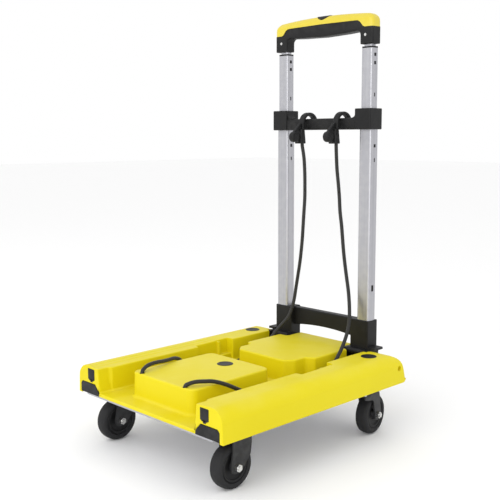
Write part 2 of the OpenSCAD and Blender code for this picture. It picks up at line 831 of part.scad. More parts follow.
module hook(x) {
  color(black) translate([x, hook_y, hook_z]) along_x(-hook_t / 2, hook_t / 2) hook_outline();
  color(black) translate([x, 0, 0]) difference() {
    along_y(hook_y - 30, hook_y - hook_in) polygon([[-9.5, 538.5], [9.5, 538.5], [7, 563], [-7, 563]]);
    translate([0, hook_y - 18, 530]) cylinder(h = 14, d = cord_d + 0.4, $fn = 32);
  }
}

// Side outline of a hook in (Y, Z) about the centre of the bar
module hook_outline() {
  difference() {
    circle(hook_out, $fn = fine);
    circle(hook_in, $fn = fine);
    polygon([[0, 0], [40, -14], [40, -40], [-12, -40], [-12, 0]]);
    translate([-40, -40]) square([30, 40]);
  }
  polygon([[-hook_out, 0], [-hook_in, 0], [-hook_in, -22], [-hook_out, -22]]);
  polygon([[-27, -16], [-27, -36], [-43, -34], [-47, -16], [-26, 2], [-22, -2], [-36, -14]]);
  translate([-42, -25]) circle(10, $fn = 32);
}

module hook_left() { hook(hook_left_x); }
module hook_right() { hook(hook_right_x); }

module cord_left() { color(black) sweep_tube(cord_left_route, cord_d / 2, 8); }
module cord_right() { color(black) sweep_tube(cord_right_route, cord_d / 2, 8); }

deck_moulding();
base_plate();
beam_left();
beam_right();
beam_plugs();
window_clips();
rail_caps();
block_cap();
hinge_bracket_left();
hinge_bracket_right();
hinge_pins();
plate_screws();
cord_stops();
front_fork_left();
front_fork_right();
front_axles();
caster_bolts();
swivel_plate_left();
swivel_plate_right();
kingpins();
rear_fork_left();
rear_fork_right();
rear_axle_left();
rear_axle_right();
front_left_tyre();
front_right_tyre();
rear_left_tyre();
rear_right_tyre();
front_left_hub();
front_right_hub();
rear_left_hub();
rear_right_hub();
yoke();
lower_tube_left();
lower_tube_right();
crossbar();
yoke_screws();
lower_guides();
middle_tube_left();
middle_tube_right();
middle_guides();
middle_locks();
upper_tube_left();
upper_tube_right();
grip_lower();
grip_cover();
grip_screws();
upper_locks();
pull_rods();
release_bar();
release_button();
button_spring();
hook_left();
hook_right();
cord_left();
cord_right();
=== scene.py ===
import bmesh
import bpy
import math
from mathutils import Matrix, Vector


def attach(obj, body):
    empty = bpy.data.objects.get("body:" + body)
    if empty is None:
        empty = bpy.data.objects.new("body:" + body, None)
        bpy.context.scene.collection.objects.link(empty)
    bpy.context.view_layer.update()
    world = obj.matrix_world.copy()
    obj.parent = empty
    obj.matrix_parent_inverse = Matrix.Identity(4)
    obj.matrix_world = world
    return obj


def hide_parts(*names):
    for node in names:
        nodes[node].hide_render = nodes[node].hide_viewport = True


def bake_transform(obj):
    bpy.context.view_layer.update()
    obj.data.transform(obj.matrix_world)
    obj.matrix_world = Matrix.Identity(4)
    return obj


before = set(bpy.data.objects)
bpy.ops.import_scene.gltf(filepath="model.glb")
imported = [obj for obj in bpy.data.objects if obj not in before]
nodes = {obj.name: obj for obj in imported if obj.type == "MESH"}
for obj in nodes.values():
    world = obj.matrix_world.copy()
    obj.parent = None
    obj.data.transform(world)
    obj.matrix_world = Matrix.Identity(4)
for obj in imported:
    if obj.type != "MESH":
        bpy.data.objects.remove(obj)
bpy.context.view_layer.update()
print("frame loaded,", len(nodes), "nodes")

mm = 0.001     # one millimetre in scene units

# camera and light

cameraSetup = {
    "place": (1.0737, -1.0376, 0.5516),
    "pitch": -7.76,     # degrees, looking down
    "turn": 45.68,      # degrees, from straight ahead to the left
    "roll": -0.2,
    "lens": 59.67,
}

def makeCamera(setup):
    data = bpy.data.cameras.new("camera")
    data.lens = setup["lens"]
    data.sensor_width = 36
    camera = bpy.data.objects.new("camera", data)
    bpy.context.scene.collection.objects.link(camera)
    turn = Matrix.Rotation(math.radians(setup["turn"]), 4, "Z")
    tilt = Matrix.Rotation(math.radians(90 + setup["pitch"]), 4, "X")
    roll = Matrix.Rotation(math.radians(setup["roll"]), 4, "Z")
    camera.matrix_world = Matrix.Translation(setup["place"]) @ turn @ tilt @ roll
    bpy.context.scene.camera = camera

studio = {
    "sky": 1.0,
    "lamps": {
        "key": {"place": (0.3, -1.7, 1.5), "size": (1.6, 1.6), "power": 13},
        "fill": {"place": (-2.4, -1.2, 1.8), "size": (2.6, 2.6), "power": 4},
        "strip": {"place": (2.3, -2.5, 0.45), "size": (0.35, 2.4), "power": 22},
    },
    "aim": (0.0, 0.0, 0.4),
    "floor": (0.96, 0.96, 0.96),
}

def makeStudio(setup):
    bpy.context.scene.view_settings.view_transform = "Standard"
    world = bpy.data.worlds.new("studio")
    bpy.context.scene.world = world
    world.use_nodes = True
    sky = world.node_tree.nodes["Background"]
    sky.inputs["Color"].default_value = (1, 1, 1, 1)
    sky.inputs["Strength"].default_value = setup["sky"]
    for name, lamp in setup["lamps"].items():
        data = bpy.data.lights.new(name, "AREA")
        data.shape = "RECTANGLE"
        data.size, data.size_y = lamp["size"]
        data.energy = lamp["power"]
        light = bpy.data.objects.new(name, data)
        bpy.context.scene.collection.objects.link(light)
        light.location = lamp["place"]
        toAim = Vector(setup["aim"]) - Vector(lamp["place"])
        light.rotation_euler = toAim.to_track_quat("-Z", "Y").to_euler()
    bpy.ops.mesh.primitive_plane_add(size=30, location=(0, 0, 0))
    floor = bpy.context.object
    floor.name = "floor"
    paint = bpy.data.materials.new("floorPaint")
    paint.use_nodes = True
    shader = paint.node_tree.nodes["Principled BSDF"]
    shader.inputs["Base Color"].default_value = (*setup["floor"], 1)
    shader.inputs["Roughness"].default_value = 0.9
    floor.data.materials.append(paint)

makeCamera(cameraSetup)
makeStudio(studio)
print("camera and studio ready")

# shader groups that several finishes share

def newGroup(name, inputs, outputs):
    group = bpy.data.node_groups.new(name, "ShaderNodeTree")
    for label, value in inputs:
        socket = group.interface.new_socket(label, in_out="INPUT", socket_type="NodeSocketFloat")
        socket.default_value = value
    for label, kind in outputs:
        group.interface.new_socket(label, in_out="OUTPUT", socket_type=kind)
    return group, group.nodes.new("NodeGroupInput"), group.nodes.new("NodeGroupOutput")

def addMath(tree, operation, a, b=None, clamp=False):
    step = tree.nodes.new("ShaderNodeMath")
    step.operation = operation
    step.use_clamp = clamp
    for socket, value in zip(step.inputs, (a, b)):
        if value is None:
            continue
        if isinstance(value, (int, float)):
            socket.default_value = value
        else:
            tree.links.new(value, socket)
    return step.outputs[0]

def addNoise(tree, scale, detail=2.0, stretch=None):
    coords = tree.nodes.new("ShaderNodeTexCoord")
    noise = tree.nodes.new("ShaderNodeTexNoise")
    noise.inputs["Detail"].default_value = detail
    source = coords.outputs["Object"]
    if stretch:
        mapping = tree.nodes.new("ShaderNodeMapping")
        mapping.inputs["Scale"].default_value = stretch
        tree.links.new(source, mapping.inputs["Vector"])
        source = mapping.outputs["Vector"]
    tree.links.new(source, noise.inputs["Vector"])
    if isinstance(scale, (int, float)):
        noise.inputs["Scale"].default_value = scale
    else:
        tree.links.new(scale, noise.inputs["Scale"])
    return noise.outputs["Fac"]

def addRange(tree, value, low, high, outLow=0.0, outHigh=1.0):
    step = tree.nodes.new("ShaderNodeMapRange")
    step.inputs["From Min"].default_value = low
    step.inputs["From Max"].default_value = high
    step.inputs["To Min"].default_value = outLow
    step.inputs["To Max"].default_value = outHigh
    tree.links.new(value, step.inputs["Value"])
    return step.outputs["Result"]

def makeGrain():
    # fine moulded or powder-coat texture, with a slow mottle for colour and gloss
    group, start, end = newGroup("grain", [("Fine Scale", 900.0), ("Slow Scale", 9.0)],
        [("Height", "NodeSocketFloat"), ("Mottle", "NodeSocketFloat")])
    group.links.new(addNoise(group, start.outputs["Fine Scale"], 3.0), end.inputs["Height"])
    slow = addNoise(group, start.outputs["Slow Scale"], 4.0)
    group.links.new(addRange(group, slow, 0.3, 0.7), end.inputs["Mottle"])
    return group

def makeEdgeWear():
    # pale rubbed edges, broken up by noise
    group, start, end = newGroup("edgeWear", [("Amount", 0.5), ("Break Up", 60.0)],
        [("Mask", "NodeSocketFloat")])
    geometry = group.nodes.new("ShaderNodeNewGeometry")
    edge = addRange(group, geometry.outputs["Pointiness"], 0.52, 0.62)
    broken = addRange(group, addNoise(group, start.outputs["Break Up"], 4.0), 0.42, 0.62)
    worn = addMath(group, "MULTIPLY", edge, broken)
    group.links.new(addMath(group, "MULTIPLY", worn, start.outputs["Amount"], True), end.inputs["Mask"])
    return group

def makeDustAndSheen():
    # paler colour in patches on faces that look up: light dust, and a painted sheen that lights the tops
    group, start, end = newGroup("dustAndSheen", [("Amount", 0.3), ("Patch Scale", 14.0)],
        [("Mask", "NodeSocketFloat")])
    geometry = group.nodes.new("ShaderNodeNewGeometry")
    split = group.nodes.new("ShaderNodeSeparateXYZ")
    group.links.new(geometry.outputs["Normal"], split.inputs[0])
    up = addRange(group, split.outputs["Z"], 0.2, 1.0)
    patch = addRange(group, addNoise(group, start.outputs["Patch Scale"], 6.0), 0.35, 0.75)
    lying = addMath(group, "MULTIPLY", up, patch)
    group.links.new(addMath(group, "MULTIPLY", lying, start.outputs["Amount"], True), end.inputs["Mask"])
    return group

def makeDrawLines():
    # long fine lines that drawing or extrusion leaves along Z
    group, start, end = newGroup("drawLines", [("Line Scale", 1.0)],
        [("Height", "NodeSocketFloat"), ("Streak", "NodeSocketFloat")])
    group.links.new(addNoise(group, start.outputs["Line Scale"], 2.0, (2200, 2200, 6)), end.inputs["Height"])
    streak = addNoise(group, start.outputs["Line Scale"], 2.0, (420, 420, 2))
    group.links.new(addRange(group, streak, 0.35, 0.65), end.inputs["Streak"])
    return group

def makeBraid():
    # two sets of yarn that cross around a cord, from its own UV map
    group, start, end = newGroup("braid", [("Yarns", 16.0), ("Turns", 260.0)],
        [("Height", "NodeSocketFloat"), ("Shade", "NodeSocketFloat")])
    uv = group.nodes.new("ShaderNodeUVMap")
    uv.uv_map = "cordMap"
    split = group.nodes.new("ShaderNodeSeparateXYZ")
    group.links.new(uv.outputs["UV"], split.inputs[0])
    around = addMath(group, "MULTIPLY", split.outputs["Y"], addMath(group, "MULTIPLY",
        start.outputs["Yarns"], math.pi))
    along = addMath(group, "MULTIPLY", split.outputs["X"], start.outputs["Turns"])
    left = addMath(group, "ABSOLUTE", addMath(group, "SINE", addMath(group, "ADD", along, around)))
    right = addMath(group, "ABSOLUTE", addMath(group, "SINE", addMath(group, "SUBTRACT", along, around)))
    weave = addMath(group, "MAXIMUM", left, right)
    group.links.new(weave, end.inputs["Height"])
    group.links.new(addRange(group, weave, 0.2, 1.0, 0.35, 1.0), end.inputs["Shade"])
    return group

groups = {
    "grain": makeGrain(),
    "edgeWear": makeEdgeWear(),
    "dustAndSheen": makeDustAndSheen(),
    "drawLines": makeDrawLines(),
    "braid": makeBraid(),
}
print("shader groups ready")

# finishes, one for each material slot

def newMaterial(name):
    material = bpy.data.materials.new(name)
    material.use_nodes = True
    return material, material.node_tree, material.node_tree.nodes["Principled BSDF"]

def useGroup(tree, name, values):
    node = tree.nodes.new("ShaderNodeGroup")
    node.node_tree = groups[name]
    for label, value in values.items():
        node.inputs[label].default_value = value
    return node

def mixColors(tree, mask, first, second):
    mix = tree.nodes.new("ShaderNodeMix")
    mix.data_type = "RGBA"
    tree.links.new(mask, mix.inputs["Factor"])
    for socket, value in ((mix.inputs["A"], first), (mix.inputs["B"], second)):
        if isinstance(value, tuple):
            socket.default_value = (*value, 1)
        else:
            tree.links.new(value, socket)
    return mix.outputs["Result"]

def addBump(tree, shader, height, strength, distance):
    bump = tree.nodes.new("ShaderNodeBump")
    bump.inputs["Strength"].default_value = strength
    bump.inputs["Distance"].default_value = distance
    tree.links.new(height, bump.inputs["Height"])
    tree.links.new(bump.outputs["Normal"], shader.inputs["Normal"])

def plasticMaterial(name, look):
    material, tree, shader = newMaterial(name)
    grain = useGroup(tree, "grain", {"Fine Scale": look["grainScale"], "Slow Scale": look["mottleScale"]})
    wear = useGroup(tree, "edgeWear", {"Amount": look["wear"], "Break Up": 70.0})
    dustAndSheen = useGroup(tree, "dustAndSheen", {"Amount": look["dustAndSheen"], "Patch Scale": 16.0})
    color = mixColors(tree, grain.outputs["Mottle"], look["color"], look["colorB"])
    color = mixColors(tree, wear.outputs["Mask"], color, look["worn"])
    # faces that look up turn paler: dust, and painted sheen of the tops
    color = mixColors(tree, dustAndSheen.outputs["Mask"], color, look["dustAndSheenColor"])
    tree.links.new(color, shader.inputs["Base Color"])
    tree.links.new(addRange(tree, grain.outputs["Mottle"], 0, 1, *look["rough"]), shader.inputs["Roughness"])
    addBump(tree, shader, grain.outputs["Height"], look["bump"], 0.0002)
    shader.inputs["Specular IOR Level"].default_value = look["gloss"]
    shader.inputs["Subsurface Weight"].default_value = look.get("glow", 0.0)     # light bleeds in yellow only
    shader.inputs["Subsurface Radius"].default_value = (0.004, 0.003, 0.001)
    return material

def metalMaterial(name, look):
    material, tree, shader = newMaterial(name)
    lines = useGroup(tree, "drawLines", {"Line Scale": look["lineScale"]})
    wear = useGroup(tree, "edgeWear", {"Amount": look["wear"], "Break Up": 90.0})
    color = mixColors(tree, lines.outputs["Streak"], look["color"], look["colorB"])
    color = mixColors(tree, wear.outputs["Mask"], color, look["worn"])
    tree.links.new(color, shader.inputs["Base Color"])
    tree.links.new(addRange(tree, lines.outputs["Streak"], 0, 1, *look["rough"]), shader.inputs["Roughness"])
    addBump(tree, shader, lines.outputs["Height"], look["bump"], 0.0001)
    shader.inputs["Metallic"].default_value = look["metallic"]
    return material

def cordMaterial(name, look):
    material, tree, shader = newMaterial(name)
    braid = useGroup(tree, "braid", {"Yarns": look["yarns"], "Turns": look["turns"]})
    tree.links.new(mixColors(tree, braid.outputs["Shade"], look["gap"], look["yarn"]),
        shader.inputs["Base Color"])
    shader.inputs["Roughness"].default_value = look["rough"]
    shader.inputs["Sheen Weight"].default_value = look["sheen"]
    addBump(tree, shader, braid.outputs["Height"], look["bump"], 0.0004)
    return material

# each dustAndSheenColor paints faces that look up paler: dust, and painted sheen of the tops
materials = {
    "yellow_moulding": plasticMaterial("yellowMoulding", {
        "color": (0.735, 0.625, 0.003), "colorB": (0.70, 0.585, 0.002), "worn": (0.82, 0.74, 0.10),
        "dustAndSheenColor": (0.83, 0.77, 0.30), "dustAndSheen": 0.15, "wear": 0.25, "rough": (0.44, 0.54),
        "grainScale": 1100.0, "mottleScale": 7.0, "bump": 0.10, "gloss": 0.25, "glow": 0.03}),
    "golden_grip": plasticMaterial("goldenGrip", {
        "color": (0.69, 0.56, 0.04), "colorB": (0.65, 0.52, 0.03), "worn": (0.80, 0.70, 0.22),
        "dustAndSheenColor": (0.72, 0.63, 0.22), "dustAndSheen": 0.08, "wear": 0.2, "rough": (0.30, 0.40),
        "grainScale": 1400.0, "mottleScale": 12.0, "bump": 0.06, "gloss": 0.5, "glow": 0.03}),
    "black_plastic": plasticMaterial("blackPlastic", {
        "color": (0.0085, 0.0085, 0.009), "colorB": (0.012, 0.012, 0.0125), "worn": (0.05, 0.05, 0.05),
        "dustAndSheenColor": (0.05, 0.05, 0.05), "dustAndSheen": 0.06, "wear": 0.3, "rough": (0.42, 0.56),
        "grainScale": 1300.0, "mottleScale": 18.0, "bump": 0.14, "gloss": 0.22}),
    "black_steel": plasticMaterial("blackSteel", {
        "color": (0.014, 0.014, 0.015), "colorB": (0.019, 0.019, 0.020), "worn": (0.09, 0.09, 0.09),
        "dustAndSheenColor": (0.07, 0.07, 0.07), "dustAndSheen": 0.10, "wear": 0.35, "rough": (0.36, 0.48),
        "grainScale": 600.0, "mottleScale": 20.0, "bump": 0.2, "gloss": 0.32}),
    "wheel_rubber": plasticMaterial("wheelRubber", {
        "color": (0.014, 0.014, 0.015), "colorB": (0.020, 0.020, 0.021), "worn": (0.05, 0.05, 0.05),
        "dustAndSheenColor": (0.08, 0.078, 0.075), "dustAndSheen": 0.12, "wear": 0.25, "rough": (0.58, 0.74),
        "grainScale": 800.0, "mottleScale": 30.0, "bump": 0.25, "gloss": 0.25}),
    "zinc_steel": metalMaterial("zincSteel", {
        "color": (0.60, 0.60, 0.58), "colorB": (0.70, 0.70, 0.69), "worn": (0.80, 0.80, 0.80),
        "wear": 0.3, "rough": (0.22, 0.36), "lineScale": 0.6, "bump": 0.10, "metallic": 1.0}),
    "anodised": metalMaterial("anodisedAluminium", {
        "color": (0.43, 0.43, 0.46), "colorB": (0.48, 0.48, 0.51), "worn": (0.6, 0.6, 0.6),
        "wear": 0.2, "rough": (0.34, 0.42), "lineScale": 1.0, "bump": 0.12, "metallic": 0.92}),
    "elastic_cord": cordMaterial("elasticCord", {
        "yarn": (0.010, 0.010, 0.010), "gap": (0.003, 0.003, 0.003), "yarns": 16.0, "turns": 900.0,
        "rough": 0.55, "sheen": 0.06, "bump": 0.7}),
}
print("materials ready")

# mesh helpers; every outline and size from here on is in millimetres

def roundedOutline(corners, grow=0.0, steps=5):
    # corners are (u, v, radius), counter-clockwise; grow moves the outline outward
    count = len(corners)
    points = [Vector(c[:2]) for c in corners]
    ahead = [(points[(i + 1) % count] - points[i]).normalized() for i in range(count)]
    outline = []
    for i in range(count):
        before, after = ahead[i - 1], ahead[i]
        turn = before.x * after.y - before.y * after.x
        bend = math.acos(max(-1.0, min(1.0, before.dot(after))))
        outBefore, outAfter = Vector((before.y, -before.x)), Vector((after.y, -after.x))
        halfway = (outBefore + outAfter).normalized()
        corner = points[i] + halfway * (grow / max(0.2, math.cos(bend / 2)))
        hand = 1 if turn >= 0 else -1
        radius = max(0.01, corners[i][2] + hand * grow)
        reach = radius * math.tan(bend / 2)
        centre = corner - before * reach - outBefore * radius * hand
        begin = outBefore * radius * hand
        for k in range(steps + 1):
            angle = hand * bend * k / steps
            c, s = math.cos(angle), math.sin(angle)
            outline.append(centre + Vector((begin.x * c - begin.y * s, begin.x * s + begin.y * c)))
    return outline

def toAxis(axis, u, v, w):
    # X: outline in (Y, Z); Y: outline in (X, Z); Z: outline in (X, Y)
    return {"X": (w, u, v), "Y": (u, w, v), "Z": (u, v, w)}[axis]

def addRings(bm, rings, loop=False):
    # skin over a row of outlines, closed at both ends or joined into a loop
    grid = [[bm.verts.new(Vector(p) * mm) for p in ring] for ring in rings]
    for i in range(len(grid) if loop else len(grid) - 1):
        a, b = grid[i], grid[(i + 1) % len(grid)]
        for k in range(len(a)):
            n = (k + 1) % len(a)
            bm.faces.new((a[k], a[n], b[n], b[k]))
    if not loop:
        bm.faces.new(reversed(grid[0]))
        bm.faces.new(grid[-1])

weldDistance = 0.004 * mm

def edgeSteps(radius, segments=3):
    # (inset, depth) from the flat face to the full outline, over a round edge
    return [(radius * (1 - math.sin(t)), radius * (1 - math.cos(t)))
            for t in (math.pi / 2 * k / segments for k in range(segments + 1))]

def addPrism(bm, corners, low, high, axis="Z", edge=(1.0, 1.0), steps=5, turn=None):
    # solid with a rounded outline, from low to high, with round edges at both ends
    levels = [(-inset, low + depth) for inset, depth in edgeSteps(edge[0])]
    levels += [(-inset, high - depth) for inset, depth in reversed(edgeSteps(edge[1]))]
    rings = []
    for grow, level in levels:
        ring = [Vector(toAxis(axis, p.x, p.y, level)) for p in roundedOutline(corners, grow, steps)]
        rings.append([turn @ p for p in ring] if turn else ring)
    addRings(bm, rings)

def boxCorners(u0, u1, v0, v1, radius):
    return [(u0, v0, radius), (u1, v0, radius), (u1, v1, radius), (u0, v1, radius)]

def addLathe(bm, profile, segments=72, turn=None):
    # profile of (radius, along) turned about X; closed outline
    rings = []
    for i in range(segments):
        angle = 2 * math.pi * i / segments
        ring = [Vector((a, r * math.cos(angle), r * math.sin(angle))) for r, a in profile]
        rings.append([turn @ p for p in ring] if turn else ring)
    addRings(bm, rings, loop=True)

def keepFlatFaces(piece):
    weighted = piece.modifiers.new("flatFaces", "WEIGHTED_NORMAL")
    weighted.keep_sharp = True

def finishPiece(name, bm, body, slot, replaces, sharp=38.0):
    # object from a mesh: cleaned, shaded, dressed, parented to its body, and the CAD parts it replaces hidden
    bmesh.ops.remove_doubles(bm, verts=bm.verts, dist=weldDistance)
    bmesh.ops.dissolve_degenerate(bm, edges=bm.edges, dist=weldDistance)
    bmesh.ops.recalc_face_normals(bm, faces=bm.faces)
    mesh = bpy.data.meshes.new(name)
    bm.to_mesh(mesh)
    bm.free()
    mesh.shade_smooth()
    mesh.set_sharp_from_angle(angle=math.radians(sharp))
    piece = bpy.data.objects.new(name, mesh)
    bpy.context.scene.collection.objects.link(piece)
    keepFlatFaces(piece)
    mesh.materials.append(materials[slot])
    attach(piece, body)
    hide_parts(*replaces)
    return piece

def smooth(t):
    # eased step from 0 to 1
    t = max(0.0, min(1.0, t))
    return t * t * (3 - 2 * t)

# elastic cords

cords = {
    "diameter": 7.0,
    "sides": 14,        # facets around
    "split": 440.0,     # height where the stretch that follows the hook begins
    "right": [
        (58, -195, 131), (58, -195, 147), (61, -190, 151), (67, -180, 153.5), (75, -168, 153.5),
        (83, -154, 152), (92, -136, 145), (99, -112, 132), (103, -87, 118), (106, -62, 109),
        (106, -40, 106), (106, -20, 105.7), (106, 4, 105.7), (106, 28, 105.7), (106, 52, 105.7),
        (106, 76, 105.7), (106, 94, 108), (104, 112, 116), (102, 128, 127), (100, 143, 140),
        (98, 157, 153), (96, 169, 167), (95, 178, 183), (94, 184, 201), (92, 187, 219),
        (86, 193, 239), (77, 201, 258), (67, 208, 280), (61, 210, 304), (57, 210, 330),
        (54, 210, 356), (51, 210, 382), (47, 210, 408), (45, 210, 434), (43, 209, 460),
        (42, 206, 486), (45, 200, 511), (48, 195, 534), (48, 195, 542)],
    "left": [
        (-58, -195, 131), (-58, -195, 147), (-60, -190, 152), (-64, -176, 155.5), (-68, -157, 155.5),
        (-73, -137, 153), (-79, -117, 151), (-85, -100, 149), (-92, -82, 141), (-99, -63, 125),
        (-104, -42, 110), (-106, -20, 105.9), (-106, 4, 105.7), (-106, 28, 105.7), (-106, 52, 105.7),
        (-106, 76, 105.7), (-106, 98, 107), (-104, 117, 111), (-102, 136, 118), (-99, 153, 128),
        (-96, 168, 142), (-92, 180, 156), (-85, 190, 169), (-78, 198, 182), (-74, 204, 199),
        (-71, 208, 219), (-68, 210, 243), (-63, 210, 268), (-58, 210, 294), (-54, 210, 321),
        (-51, 210, 348), (-49, 210, 375), (-47, 210, 402), (-45, 210, 429), (-44, 209, 455),
        (-41, 205, 483), (-38, 199, 511), (-39, 195, 534), (-39, 195, 542)],
}

def curveThrough(points, per=5):
    # smooth line through the route points
    route = [Vector(p) for p in points]
    line = []
    for i in range(len(route) - 1):
        a, b = route[max(i - 1, 0)], route[i]
        c, d = route[i + 1], route[min(i + 2, len(route) - 1)]
        for k in range(per):
            t = k / per
            line.append(0.5 * (2 * b + (c - a) * t + (2 * a - 5 * b + 4 * c - d) * t * t
                + (3 * b - a - 3 * c + d) * t ** 3))
    line.append(route[-1])
    return line

def lineLength(line):
    return sum((b - a).length for a, b in zip(line, line[1:]))

def makeTube(name, line, startLength=0.0):
    # round tube along a line, with a map that runs on from startLength
    radius, sides = cords["diameter"] / 2, cords["sides"]
    bm = bmesh.new()
    layer = bm.loops.layers.uv.new("cordMap")
    rings, lengths, run = [], [], startLength
    side = Vector((1, 0, 0))
    for i, point in enumerate(line):
        if i:
            run += (point - line[i - 1]).length
        along = (line[min(i + 1, len(line) - 1)] - line[max(i - 1, 0)]).normalized()
        side = (side - along * side.dot(along)).normalized()
        across = along.cross(side)
        rings.append([bm.verts.new((point + radius * (math.cos(a) * side + math.sin(a) * across)) * mm)
            for a in (2 * math.pi * k / sides for k in range(sides))])
        lengths.append(run * mm)
    for i in range(len(rings) - 1):
        for k in range(sides):
            n = (k + 1) % sides
            face = bm.faces.new((rings[i][k], rings[i + 1][k], rings[i + 1][n], rings[i][n]))
            corners = ((lengths[i], k), (lengths[i + 1], k), (lengths[i + 1], k + 1), (lengths[i], k + 1))
            for loop, (u, v) in zip(face.loops, corners):
                loop[layer].uv = (u, v / sides)
    bm.faces.new(rings[0])
    bm.faces.new(reversed(rings[-1]))
    bmesh.ops.recalc_face_normals(bm, faces=bm.faces)
    mesh = bpy.data.meshes.new(name)
    bm.to_mesh(mesh)
    bm.free()
    mesh.shade_smooth()
    piece = bpy.data.objects.new(name, mesh)
    bpy.context.scene.collection.objects.link(piece)
    mesh.materials.append(materials["elastic_cord"])
    return piece

def makeCord(side):
    line = curveThrough(cords[side])
    cut = next(i for i, p in enumerate(line) if p.z > cords["split"])
    lower = makeTube("cord_" + side + "_run", line[:cut + 1])
    upper = makeTube("cord_" + side + "_top", line[cut:], lineLength(line[:cut + 1]))
    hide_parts("cord_" + side)
    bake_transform(lower)
    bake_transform(upper)
    print("cord", side, round(lineLength(line) * mm, 3), "m")

makeCord("right")
makeCord("left")
print("cords done")

# yellow deck

rail = {
    "front": -237.0, "join": 188.0, "frontRound": 2.0,      # the separate end piece starts at join
    "foot": 194.0, "footLow": 93.0, "skirt": 96.2,      # outer face, its lower edge, underside
    "top": 146.8, "crown": (191.16, 146.8), "crest": 24.0,      # round outer shoulder
    "inner": [(-237, 133), (-212, 128), (-5, 140), (82, 124)],      # where each stretch starts, and its wall
    "recessStart": -8.0,        # the wall leans in ahead of this, to stay clear of the beam
    "draft": 130.6, "lowLimit": 129.0,
    "ledge": 117.0, "floor": 101.9, "fillet": 5.0, "flange": 7.0, "underside": 96.4,
    "notch": (130.9, 186.1, 115.3), "notchSlant": (103.0, 143.0), "notchOuter": (182.0, 111.0),
    "steps": [(160.0, 0.7), (149.0, 0.7)], "stepsFade": (20.0, 80.0),       # shallow steps of the top
    "rib": (133.0, 141.0, 52.0, 58.0, 101.0, 143.5),
    "endCentre": (197.0, 119.8), "endRadius": 27.0, "endSlope": 3.6, "endLow": (222.5, 9.0),
    "endNotch": 221.0, "endInner": 131.0,       # the beam space closes here
    "dimple": (212.0, 122.0, 5.0), "dimpleDepth": (186.5, 200.0),
}

def stepLength(start):
    return 9 if start < -200 else 3     # softer at the front

def railInner(y):
    # the inner wall steps in and out along the rail
    value = rail["inner"][0][1]
    for start, x in rail["inner"][1:]:
        wide = stepLength(start)
        value += (x - value) * smooth((y - start + wide / 2) / wide)
    return value

def railCorners(y):
    # section of the rail at one place along it
    top, floor, underside = rail["top"], rail["floor"], rail["underside"]
    notchIn, notchOut, notchTop = rail["notch"]
    slantZ, slantX = rail["notchSlant"]
    outerX, outerZ = rail["notchOuter"]
    inner, leaning = railInner(y), y <= rail["recessStart"]
    middle = min(inner, rail["draft"]) if leaning else inner
    low = min(middle - 0.04, rail["draft"] if leaning else rail["lowLimit"])
    footX = min(low, rail["lowLimit"])
    flangeX = footX - rail["flange"]
    ledgeRound = min(2.0, (middle - low) * 0.45)
    fadeStart, fadeEnd = rail["stepsFade"]
    fade = 1 - smooth((y - fadeStart) / (fadeEnd - fadeStart))
    corners = [(notchOut, rail["footLow"], 0.4), (rail["foot"], rail["footLow"], 0.8),
        (*rail["crown"], rail["crest"])]
    drop = 0.0
    for x, depth in rail["steps"]:
        corners.append((x, top - drop, 0.6))
        drop += depth * fade
        corners.append((x - 1.6, top - drop, 0.6))
    return corners + [
        (inner, top - drop, 2.5), (middle, rail["ledge"], ledgeRound), (low, rail["ledge"], ledgeRound),
        (footX, floor, rail["fillet"]), (flangeX, floor, 0.2), (flangeX, underside, 0.2),
        (notchIn, underside, 0.2), (notchIn, slantZ, 1.0), (slantX, notchTop, 2.0),
        (outerX, notchTop, 2.0), (notchOut, outerZ, 2.0)]

def endHeight(y):
    # a round shoulder, then a straight lean down to the rear edge
    centre, radius, slope = rail["endCentre"], rail["endRadius"], rail["endSlope"]
    turn = radius * slope / math.hypot(slope, 1)
    if y <= centre[0]:
        return rail["top"]
    if y <= centre[0] + turn:
        return centre[1] + math.sqrt(radius ** 2 - (y - centre[0]) ** 2)
    return centre[1] + turn / slope - slope * (y - centre[0] - turn)

def endFloor(y):
    middle, radius = rail["endLow"]
    if y <= middle:
        return rail["footLow"]
    return rail["footLow"] + radius - math.sqrt(max(0.0, radius ** 2 - (y - middle) ** 2))

def endCorners(y):
    opened = 1 - smooth((y - rail["endNotch"]) / 2)
    _, notchOut, notchTop = rail["notch"]
    closed = rail["skirt"] + 0.5
    notchZ = closed + (notchTop - closed) * opened
    return [(notchOut, rail["footLow"], 0.2), (rail["foot"], rail["footLow"], 0.8),
        (*rail["crown"], rail["crest"]), (rail["endInner"], rail["top"], 2.5),
        (rail["endInner"], notchZ, 0.2),
        (notchOut, notchZ, 0.2)]

def makeRailBody(side, name):
    stations = [(rail["front"] + depth, -inset) for inset, depth in edgeSteps(rail["frontRound"], 4)]
    first = rail["front"] + 4
    ys = {round(first + 12 * k, 2) for k in range(36) if first + 12 * k < rail["join"]}
    for start, _ in rail["inner"][1:]:
        wide = stepLength(start)
        ys.update(round(start - wide / 2 + wide / 6 * k, 2) for k in range(7))
    ys.add(rail["join"])
    stations += [(y, 0.0) for y in sorted(ys)]
    bm = bmesh.new()
    addRings(bm, [[(side * p.x, y, p.y) for p in roundedOutline(railCorners(y), grow, 6)]
        for y, grow in stations])
    finishPiece(name, bm, "deck", "yellow_moulding", ["deck_moulding"], 32)
    x0, x1, y0, y1, z0, z1 = rail["rib"]
    bm = bmesh.new()
    addPrism(bm, boxCorners(*sorted((side * x0, side * x1)), y0, y1, 1.5), z0, z1, edge=(0.2, 1.5))
    finishPiece(name + "_rib", bm, "deck", "yellow_moulding", ["deck_moulding"])

